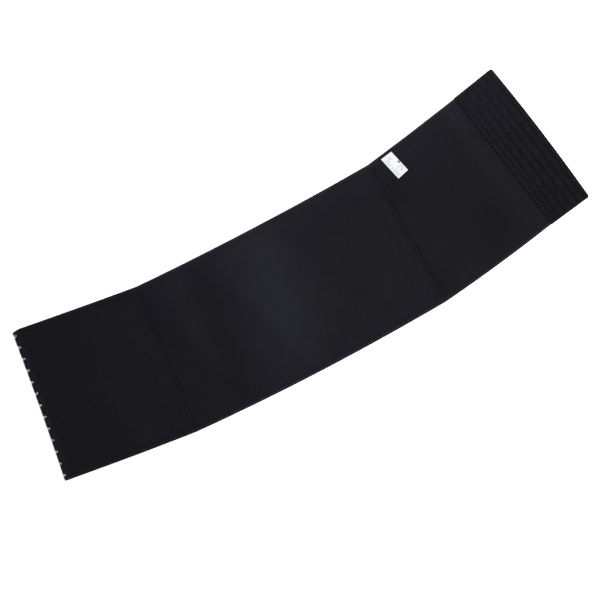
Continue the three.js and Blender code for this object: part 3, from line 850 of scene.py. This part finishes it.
# Inset from the hook end and height round the tape's fold, from its inner lip under the belt
HOOK_TAPE_SECTION = np.array([
    (13.5, 1.25), (13.95, 1.0), (14.0, 0.55), (13.5, 0.2), (12.6, 0.12), (11.6, 0.2), (10.4, 0.1),
    (9.0, 0.22), (7.4, 0.08), (5.5, 0.06), (3.8, 0.06), (2.2, 0.08), (1.2, 0.2), (0.5, 0.5), (0.1, 0.95),
    (0.0, 1.4), (0.0, 1.85), (0.1, 2.3), (0.5, 2.75), (1.1, 3.02), (2.0, 3.15), (3.0, 3.25), (4.0, 3.42),
    (5.0, 3.85), (6.0, 4.5), (6.9, 5.05), (7.8, 5.38), (8.6, 5.45), (9.3, 5.25), (9.9, 4.95),
    (10.4, 4.82), (10.9, 4.98), (11.5, 5.12), (12.0, 5.0), (12.5, 4.82), (13.0, 4.9), (13.6, 4.75),
    (14.0, 4.4), (13.95, 4.0), (13.5, 3.72), (8.2, 3.84), (8.2, 1.24),
])

# Which corners make the section's upper face
HOOK_TAPE_TOP = slice(18, 38)
HOOK_TAPE_ROWS, HOOK_TAPE_END_HIGH = (10.4, 12.5), 2.55


def end_pull(v_mm, corner, reach):
    """How far a tape is drawn in near its two ends, up to the full reach at the very end."""
    from_end = np.minimum(v_mm, BELT_WIDTH - v_mm)
    t = np.clip(1 - from_end / corner, 0, 1)
    return reach * (1 - np.sqrt(np.maximum(0, 1 - t * t)))


HOOK_DENT, HOOK_DENT_REACH, HOOK_SCALLOP = 1.5, 1.6, 1.2
BESIDE_HOOK = (-3.4, -2.4, -1.6, -0.8, 0.0, 0.8, 1.6, 2.4, 3.4)

# The upper corner of the hook tape slopes down: how far, from how far below it and how far in
CORNER_SLOPE, SLOPE_RUN, SLOPE_DEPTH = 2.4, 22, 12


def hook_dents(v_mm):
    """How far the tape's fold is drawn in at each hook and bulges between the hooks."""
    off = np.abs((v_mm - HOOK_MARGIN + HOOK_PITCH / 2) % HOOK_PITCH - HOOK_PITCH / 2)
    bulge = HOOK_SCALLOP * mix(0.4, 1.0, v_mm / BELT_WIDTH)
    return (HOOK_DENT + bulge) * notch(off, HOOK_DENT_REACH) - bulge


def sewn_rows(name, part, rows, ends_mm, height, radius, rise, sink=0.35):
    """Rows of stitches along a tape, at distances from a cross line and at heights from a function."""
    x, starts_mm = np.meshgrid(rows, np.arange(*ends_mm, STITCH_PITCH), indexing="ij")
    starts, ends = (
        place(along(part, x), v_mm / BELT_WIDTH, height(x, v_mm)).reshape(-1, 3)
        for v_mm in (starts_mm, starts_mm + STITCH_LENGTH)
    )
    stitches(name, starts, ends, radius, rise, THREAD, sink)


def make_hook_tape():
    beside = [at + off for at in CLOSURE_MM for off in BESIDE_HOOK]
    v_mm = spread(0.0, BELT_WIDTH, 1.3, 0.3, 0.8, *beside, BELT_WIDTH - 0.8, BELT_WIDTH - 0.3)
    d, w = HOOK_TAPE_SECTION.T
    vv, dd = np.meshgrid(v_mm, d, indexing="ij")
    ww = np.tile(w, (len(v_mm), 1))
    puff = np.cos(2 * np.pi * ((vv - HOOK_MARGIN) / HOOK_PITCH))
    roll = notch(dd - 7.8, 3.0) * (ww > UPPER_LEAF)
    ww = ww + roll * (-0.18 * puff + 0.1 * np.sin(vv * 0.37) + 0.07 * np.sin(vv * 0.91 + 1))
    pull = 0.5 + 0.5 * np.cos(2 * np.pi * vv / STITCH_PITCH)
    for row in HOOK_TAPE_ROWS:
        ww = ww - 0.14 * notch(dd - row, 0.5) * (ww > UPPER_LEAF) * pull
    ww = mix(ww, HOOK_TAPE_END_HIGH, end_pull(vv, 1.2, 1.0) * 0.22)
    cut = end_pull(vv, TAPE_CORNER, 1.6) * np.clip(1 - dd / 6, 0, 1)
    cut = cut + hook_dents(vv) * np.clip(1 - dd / 5, 0, 1)
    wavy = 0.12 * np.sin(vv * 0.83) * (dd < 3)
    slope = CORNER_SLOPE * smooth_step(vv, BELT_WIDTH - SLOPE_RUN, BELT_WIDTH)
    slope = slope * np.clip(1 - dd / SLOPE_DEPTH, 0, 1)
    rings = place(along(0, dd + cut + wavy), (vv - slope) / BELT_WIDTH, ww)
    uv = np.stack(np.meshgrid(running(np.hypot(np.diff(d), np.diff(w))), v_mm), -1)
    # Painted light and shade on the tape: a lighter, uneven band along its roll, darker along the two
    # stitched rows and at its inner lip, and lighter on the fold's outer side
    patchy = 0.12 * np.sin(vv * 0.21) + 0.1 * np.sin(vv * 0.47 + 2) + 0.08 * np.sin(vv * 1.9)
    tone_and_painted_light = 1 + (0.65 + 1.4 * patchy) * notch(dd - 5.2, 3.2) - 0.2 * notch(dd - 10.4, 0.6)
    tone_and_painted_light = tone_and_painted_light - 0.25 * notch(dd - 12.5, 0.6) - 0.2 * notch(dd - 14.0, 0.8) + 0.5 * notch(dd, 0.5)
    ob = loft("hook_tape_cloth", rings, uv, TAPE_CLOTH, tone_and_painted_light=tone_and_painted_light)
    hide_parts("hook_tape")
    return ob


def hook_tape_top(x, _):
    """How high the hook tape's threads lie at a distance from the hook end, the same all along it."""
    return np.interp(x, *HOOK_TAPE_SECTION[HOOK_TAPE_TOP].T) - 0.1


# Hooks

def hook_axes(share):
    at = place(0.0, share, HOOK_EDGE / 2)
    beside = place(0.0, share - 0.01, 0.0)
    across = directions(np.array([beside[0] - at[0], beside[1] - at[1], 0.0]))
    out = np.cross(across, (0.0, 0.0, 1.0))
    return at, out, across


def wire_mesh(name, path, sides):
    path, radii = rounded_ends(path, WIRE / 2)
    length = running(np.linalg.norm(np.diff(path, axis=0), axis=1))
    around = np.arange(sides) * math.pi * WIRE / sides
    uv = np.stack(np.meshgrid(length, around, indexing="ij"), -1)
    return loft(name, tube_rings(path, radii, sides), uv, STEEL_WIRE, flip=True)


def make_hook(number, share):
    bill = HOOK_EDGE / 2 + 0.4 + CLEARANCE + WIRE / 2
    radius = bill / 2
    side = [(-HOOK_LEG, 0.0), (-HOOK_LEG * 0.75, 0.0), (-HOOK_LEG / 2, 0.0), (-HOOK_LEG / 4, 0.0)]
    for angle in np.linspace(-90, 90, 13):
        x, y = unit(angle) * radius
        side.append((x - HOOK_SET_BACK, radius + y))
    tip = -HOOK_BILL + HOOK_SPREAD / 2
    for t in (0.35, 0.7, 1.0):
        side.append((mix(-HOOK_SET_BACK, tip, t), bill + 0.1 * t))
    points = []
    for out, up in side:
        narrowing = mix(0.82, 1.0, min(1, max(0, -out / 2 + 0.4)))
        points.append((out, -HOOK_SPREAD / 2 * narrowing, up))
    for angle in np.linspace(-75, 75, 9):
        x, y = unit(angle) * HOOK_SPREAD / 2
        points.append((tip - x, y, bill + 0.1 + 0.12 * x))
    points += [(out, -across, up) for out, across, up in points[:len(side)][::-1]]
    at, out, across = hook_axes(share)
    local = np.array(points)
    path = at + local[:, :1] * out + local[:, 1:2] * across + local[:, 2:] * (0.0, 0.0, 1.0)
    ob = wire_mesh(f"hook_wire_{number:02d}", path, 12)
    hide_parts(f"hook_{number:02d}")


# Eye tape

def eye_row_at(row):
    return EYE_TAPE_WIDTH - EYE_FROM_EDGE - row * EYE_ROW_PITCH


RIDGE_HEIGHT = 1.45
TROUGHS = [EYE_LAP + FIRST_RIDGE + k * RIDGE_PITCH for k in range(2 * EYE_ROWS - 1)]
RIDGE_STARTS = [EYE_LAP + 0.4] + TROUGHS
RIDGE_ENDS = TROUGHS + [EYE_TAPE_WIDTH]
LAP_ROWS = (1.3, 7.0)
LAP_BEADS, LAP_BEAT = 3.1, 2 * math.pi / 5.6
STRONG_DENTS, STRONG_RIDGES = (3, 6), 3

# Heights that the eye tape's top comes down to at its outer edge, its inner lip and its two ends
TAPE_EDGE_HIGH, TAPE_LIP_HIGH, TAPE_END_HIGH = 2.7, 4.35, 2.3


def ends_sewn(v_mm):
    """How flat the eye tape's ridges are sewn near its two ends, from not at all (0) to fully (1)."""
    from_end = np.minimum(v_mm, BELT_WIDTH - v_mm) + TAPE_OVERHANG
    return smooth_step(-from_end, -5.0, -2.0)


def tape_top(x, v_mm):
    """The quilted top of the eye tape: the lap, then ridges with soft cross dents between the eyes."""
    high = np.full(np.broadcast(x, v_mm).shape, CLOTH_TOP - 0.15)
    phase = (v_mm - HOOK_MARGIN) / HOOK_PITCH
    off = np.abs(phase - np.floor(phase) - 0.5) * HOOK_PITCH
    line = np.floor(phase)
    strong = (line == STRONG_DENTS[0]) | (line == STRONG_DENTS[1])
    sewn = ends_sewn(v_mm)
    for k, (start, end) in enumerate(zip(RIDGE_STARTS, RIDGE_ENDS)):
        depth = 0.55 + 0.18 * np.sin(line * 2.4 + k * 1.9 + 0.6) + 0.25 * strong * (k < STRONG_RIDGES)
        dent = 1 - depth * notch(off + 1.2 * np.sin(line * 1.3 + k * 2.6), 3.0)
        t = np.clip((x - start) / (end - start), 0, 1)
        puff = np.sin(np.pi * t ** 1.3)
        if k == len(RIDGE_ENDS) - 1:
            puff = np.sin(np.pi * np.clip(t * 0.93, 0, 1) ** 1.2) ** 0.8
        inside = (x > start) & (x <= end)
        shade = 1 + 0.1 * np.sin(v_mm * 0.19 + k * 1.7) + 0.06 * np.sin(v_mm * 0.43 + k)
        ridge = CLOTH_TOP - RIDGE_HEIGHT + RIDGE_HEIGHT * mix(puff * dent * shade, 0.6, sewn)
        high = np.where(inside, ridge, high)
    lap = (x <= RIDGE_STARTS[0]) & (x >= 0)
    waver = 0.08 * np.sin(v_mm * 0.5) + 0.05 * np.sin(v_mm * 1.3)
    high = np.where(lap, CLOTH_TOP - 0.1 + waver, high)
    for row in LAP_ROWS:
        high = high - (0.4 + 0.12 * np.cos(2 * np.pi * v_mm / STITCH_PITCH)) * notch(x - row, 0.6)
    return high


def tape_section():
    """Corners round the eye tape's section, as x from its inner edge and height, in four stretches.

    They are the underside with its channels, the outer edge, the top, for which only x is given, and the
    mouth that the panel's end lies in.
    """
    bottom = [(0.15, 0.75), (0.0, 0.45), (0.25, 0.12), (1.0, 0.03)]
    ceiling = EYE_LIP + WIRE + 2 * CLEARANCE
    for row in range(EYE_ROWS - 1, -1, -1):
        left, right = eye_row_at(row) - EYE_CHANNEL / 2, eye_row_at(row) + EYE_CHANNEL / 2
        back = right + WIRE + 3 * CLEARANCE
        bottom += [
            (left - 3.2, 0.0), (left - 2.2, 0.16), (left - 1.4, 0.02), (left - 0.35, 0.03), (left, 0.4),
            (left + 0.1, ceiling - 0.4), (left + 0.5, ceiling), (right, ceiling), (back - 0.3, ceiling),
            (back, ceiling - 0.3), (back, EYE_LIP + 0.2), (back - 0.3, EYE_LIP), (right + 0.3, EYE_LIP),
            (right, EYE_LIP - 0.3), (right, 0.35), (right + 0.35, 0.03), (right + 1.5, 0.02),
            (right + 2.2, 0.2), (right + 2.9, 0.02),
        ]
    end = EYE_TAPE_WIDTH
    edge = [(end - 1.4, 0.02), (end - 0.7, 0.1), (end - 0.2, 0.45)]
    edge += [(end, 1.0), (end, 1.7), (end - 0.05, 2.4)]
    top_x = np.concatenate([np.arange(0.0, end - 0.3, 0.85), TROUGHS, LAP_ROWS, [end - 0.25, 0.12, 0.35]])
    top_x = np.unique(np.round(top_x, 3))[::-1]
    inside = EYE_LAP - 0.1
    mouth = [(0.0, TAPE_LIP_HIGH), (0.2, 3.85), (inside, 3.86), (inside, 1.24), (0.2, 1.24)]
    return np.array(bottom), np.array(edge), top_x, np.array(mouth)


def make_eye_tape():
    bottom, edge, top_x, mouth = tape_section()
    over = TAPE_OVERHANG
    v_mm = spread(-over, BELT_WIDTH + over, 1.45, 0.1 - over, 0.4 - over, 1.0 - over,
                  BELT_WIDTH + over - 0.1, BELT_WIDTH + over - 0.4, BELT_WIDTH + over - 1.0)
    x = np.concatenate([bottom[:, 0], edge[:, 0], top_x, mouth[:, 0]])
    w = np.concatenate([bottom[:, 1], edge[:, 1], np.zeros(len(top_x)), mouth[:, 1]])
    xx, vv = np.meshgrid(x, v_mm)
    ww = np.tile(w, (len(v_mm), 1))
    first = len(bottom) + len(edge)
    top = slice(first, first + len(top_x))
    high = tape_top(xx[:, top], vv[:, top])
    high = mix(TAPE_EDGE_HIGH, high, quarter_round((EYE_TAPE_WIDTH - xx[:, top]) / 1.2))
    ww[:, top] = mix(TAPE_LIP_HIGH, high, quarter_round(xx[:, top] / 0.45))
    within_belt = vv + over * (vv < BELT_WIDTH / 2) - over * (vv > BELT_WIDTH / 2)
    ww = mix(ww, TAPE_END_HIGH, end_pull(within_belt, 1.6, 1.0) * 0.35)
    cut = end_pull(within_belt, TAPE_CORNER + 1.0, 3.2) * np.clip((xx - (EYE_TAPE_WIDTH - 7)) / 7, 0, 1)
    rings = place(along(3, xx - cut), vv / BELT_WIDTH, ww)
    uv = np.stack(np.meshgrid(running(np.hypot(np.diff(x), 0.25)), v_mm), -1)
    full = np.clip((ww - (CLOTH_TOP - RIDGE_HEIGHT)) / RIDGE_HEIGHT, 0, 1.1)
    on_top = np.zeros(len(x), bool)
    on_top[top] = True
    ridges, lap = on_top & (xx > RIDGE_STARTS[0]), on_top & (xx <= RIDGE_STARTS[0])
    # Painted light and shade on the tape: ridge tops lighter and troughs darker by their height, with less
    # contrast towards the upper end, the whole tape darker towards the lower end, and lighter near its sewn
    # ends and at its outer edge
    patchy = 1 + 0.06 * np.sin(vv * 0.52 + xx * 0.6) + 0.06 * np.sin(vv * 0.23 - xx * 0.31)
    calm = smooth_step(vv / BELT_WIDTH, 0.6, 1.0)
    tone_and_painted_light = np.where(ridges, mix(0.56 + 0.36 * calm, 1.12, full) * patchy, 1.0)
    tone_and_painted_light = tone_and_painted_light * mix(0.79, 1.15, np.clip(vv / BELT_WIDTH, 0, 1)) * (1 + 0.35 * ends_sewn(vv))
    tone_and_painted_light = tone_and_painted_light * (1 + 0.6 * smooth_step(xx, EYE_TAPE_WIDTH - 1.6, EYE_TAPE_WIDTH))
    for row in LAP_ROWS:
        tone_and_painted_light = tone_and_painted_light - 0.42 * notch(xx - row, 0.9) * (1 + 0.9 * np.sin(vv * LAP_BEAT + row)) * lap
    beads = 0.25 + np.sin(vv * LAP_BEAT) + 0.3 * np.sin(vv * 0.31)
    tone_and_painted_light = tone_and_painted_light + 0.9 * notch(xx - LAP_BEADS, 1.3) * beads * lap
    ob = loft("eye_tape_cloth", rings, uv, TAPE_CLOTH, tone_and_painted_light=tone_and_painted_light)
    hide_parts("eye_tape")


LAP_ZIGZAG, UNDER_ROW, UNDER_HIGH = 4.2, 2.2, 0.24


def under_tape(x, _):
    return np.full_like(x, UNDER_HIGH)


def eye_tape_threads():
    """Rows along the lap and the troughs, the lap's zigzag, and rows beside the channels underneath."""
    ends_mm = (1.0, BELT_WIDTH - 3.5)
    sewn_rows("eye_tape_threads", 3, [*LAP_ROWS, *TROUGHS], ends_mm, tape_top, TAPE_THREAD, 0.14)
    knots = np.arange(2.0, BELT_WIDTH - 2.0, LAP_ZIGZAG / 2)
    x = np.where(np.arange(len(knots)) % 2, LAP_ROWS[1] - 1.0, LAP_ROWS[0] + 1.0)
    lap = place(along(3, x), knots / BELT_WIDTH, tape_top(x, knots))
    zigzag_row = stitches("eye_tape_lap_threads", lap[:-1], lap[1:], TAPE_THREAD, 0.14, GREY_THREAD)
    beside = [
        eye_row_at(row) + side * EYE_CHANNEL / 2 + side * UNDER_ROW
        for row in range(EYE_ROWS) for side in (1, -1)
    ]
    sewn_rows("eye_tape_threads_under", 3, beside, ends_mm, under_tape, OUTER_THREAD, -0.02, sink=-0.2)


def make_eye_row(row):
    height = EYE_LIP + CLEARANCE + WIRE / 2
    lip = eye_row_at(row) + EYE_CHANNEL / 2
    back = lip + CLEARANCE + WIRE / 2
    radius = EYE_WIDTH / 2
    points = []
    for at in CLOSURE_MM:
        points += [(back, at - radius - WIRE), (back - 0.3, at - radius - 0.25), (back - WIRE, at - radius)]
        points += [(lip - 0.6, at - radius)]
        for angle in np.linspace(-90, 90, 11):
            x, y = unit(angle) * radius
            points.append((lip - EYE_REACH + radius - x, at + y))
        points += [(lip - 0.6, at + radius)]
        points += [(back - WIRE, at + radius), (back - 0.3, at + radius + 0.25), (back, at + radius + WIRE)]
    x, v = np.array(points).T
    path = place(along(3, x), v / BELT_WIDTH, height)
    ob = wire_mesh(f"eye_wire_{row + 1}", path, 10)
    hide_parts(f"eye_row_{row + 1}")


# Care label

def label_frame():
    """The upper edge's point above the label, and the directions across and down the label."""
    u = along(2, LABEL_FROM_SEAM)
    upper = edges(u)[0]
    ahead = edges(u + 0.01)[0] - upper
    angle = math.degrees(math.atan2(ahead[1], ahead[0]))
    down = unit(angle + LABEL_TILT - 90)
    drop = BINDING_FACE + CLEARANCE + LABEL_WIDTH / 2 * math.sin(math.radians(LABEL_TILT))
    top = upper + unit(angle - 90) * drop
    return top, unit(angle + LABEL_TILT), down


def make_label():
    top, across, down = label_frame()
    x = np.linspace(-LABEL_WIDTH / 2, LABEL_WIDTH / 2, 25)
    y = np.linspace(-LABEL_TUCK, LABEL_LENGTH, 52)
    yy, xx = np.meshgrid(y, x, indexing="ij")
    flat = top + xx[..., None] * across + (yy - LABEL_RISE)[..., None] * down
    t = yy / LABEL_LENGTH
    curl = 1.1 * np.clip(t - 0.25, 0, 1) ** 2 + 0.35 * (xx / LABEL_WIDTH * 2) ** 2 * np.clip(t, 0, 1)
    ripple = 0.18 * np.sin(t * 9.0 + xx * 0.12) * np.clip(t * 3, 0, 1)
    base = PANEL_TOP + 0.16 - 0.1 * (yy < 0)
    high = base + np.maximum(0, curl + ripple) + lift(flat[..., 0], flat[..., 1])
    upper = np.dstack([flat + SHIFT, high + 0.14])
    lower = np.dstack([flat + SHIFT, high - 0.06])
    uv = np.stack([xx + LABEL_WIDTH / 2, LABEL_LENGTH - yy], -1)
    ob = slab("care_label_satin", upper[::-1], lower[::-1], uv[::-1], LABEL_SATIN)
    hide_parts("care_label")
    return ob


# The floor, the lights and the camera

def make_stage():
    me = bpy.data.meshes.new("floor")
    corners = [(x * FLOOR_REACH, y * FLOOR_REACH, 0) for x, y in ((-1, -1), (1, -1), (1, 1), (-1, 1))]
    me.from_pydata(corners, [], [(0, 1, 2, 3)])
    floor = add_object("floor", me)
    material, tree, shader = nodes_of("pale_floor")
    connect(tree, shader, {
        "Base Color": (0.93, 0.93, 0.93, 1),
        "Roughness": 0.9,
        "Specular IOR Level": 0.1,
        "Emission Color": (1, 1, 1, 1),
        "Emission Strength": FLOOR_GLOW,
    })
    me.materials.append(material)
    world = bpy.data.worlds.new("studio")
    world.use_nodes = True
    tree = world.node_tree
    connect(tree, tree.nodes["Background"], {"Color": (0.95, 0.97, 1.0, 1), "Strength": WORLD_LIGHT})
    bpy.context.scene.world = world
    bpy.context.scene.view_settings.view_transform = "Standard"


WORLD_LIGHT, FLOOR_GLOW, FLOOR_REACH = 0.12, 0.35, 6.0

# Softboxes: place in metres in the picture's frame (right, up, height), size, watts and colour
LIGHTS = (
    ("key_light", (1.7, 0.9, 2.4), 0.9, 108.0, (1.0, 1.0, 0.99)),
    ("fill_light", (-2.2, 0.6, 2.2), 1.4, 14.0, (1.0, 0.98, 1.0)),
    ("low_light", (1.0, -2.0, 2.2), 1.4, 32.0, (1.0, 1.0, 1.0)),
    ("glow_light", (-0.055, 0.01, 2.75), 0.3, 8.7, (0.84, 1.03, 1.12)),
)

# The photo's width, the hooks' pitch and the belt's middle in its pixels, and its turn in degrees
PICTURE_PIXELS, HOOK_PITCH_PIXELS = 600, 12.27
PIXEL_MM = HOOK_PITCH / HOOK_PITCH_PIXELS
PICTURE_TURN = 28.608
PICTURE_MIDDLE = (289.65, 269.25)

# In metres and in millimetres
CAMERA_HEIGHT, SENSOR_WIDTH = 2.6, 36.0


def picture_axes():
    right = unit(-PICTURE_TURN)
    up = unit(90 - PICTURE_TURN)
    return right, up


def picture_centre():
    """Where the picture's middle falls in the belt's frame, in metres."""
    right, up = picture_axes()
    dx = (PICTURE_PIXELS / 2 - PICTURE_MIDDLE[0]) * PIXEL_MM
    dy = -(PICTURE_PIXELS / 2 - PICTURE_MIDDLE[1]) * PIXEL_MM
    return (right * dx + up * dy + SHIFT) * MM


def make_camera():
    x, y = picture_centre()
    data = bpy.data.cameras.new("camera")
    data.sensor_width = SENSOR_WIDTH
    field = PICTURE_PIXELS * PIXEL_MM * MM
    data.lens = data.sensor_width * CAMERA_HEIGHT / field
    camera = add_object("camera", data)
    camera.location = (x, y, CAMERA_HEIGHT)
    camera.rotation_euler = (0, 0, math.radians(-PICTURE_TURN))
    bpy.context.scene.camera = camera


def make_lights():
    right, up = picture_axes()
    centre = picture_centre()
    for name, (x, y, z), size, watts, colour in LIGHTS:
        data = bpy.data.lights.new(name, "AREA")
        data.shape = "SQUARE"
        data.size = size
        data.energy = watts
        data.color = colour
        light = add_object(name, data)
        spot = right * x + up * y + centre
        light.location = (*spot, z)
        aim = np.array([*centre, 0.0]) - np.array([*spot, z])
        light.rotation_euler = Vector(aim).to_track_quat("-Z", "Y").to_euler()


make_camera()
make_stage()
make_lights()
sheets = make_panels()
for seam_line in (1, 2):
    seam_threads(seam_line)
for binding_name, is_upper in (("upper_binding", True), ("lower_binding", False)):
    strip, columns_u, columns_run = make_binding(binding_name + "_cloth", is_upper)
    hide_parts(binding_name)
    binding_threads(binding_name + "_threads", is_upper, columns_u, columns_run)
hook_tape = make_hook_tape()
sewn_rows("hook_tape_threads", 0, HOOK_TAPE_ROWS, (1.5, BELT_WIDTH - 4.0), hook_tape_top, TAPE_THREAD, 0.2)
for index, middle_mm in enumerate(CLOSURE_MM):
    make_hook(index + 1, middle_mm / BELT_WIDTH)
make_eye_tape()
eye_tape_threads()
for eye_row in range(EYE_ROWS):
    make_eye_row(eye_row)
label = make_label()
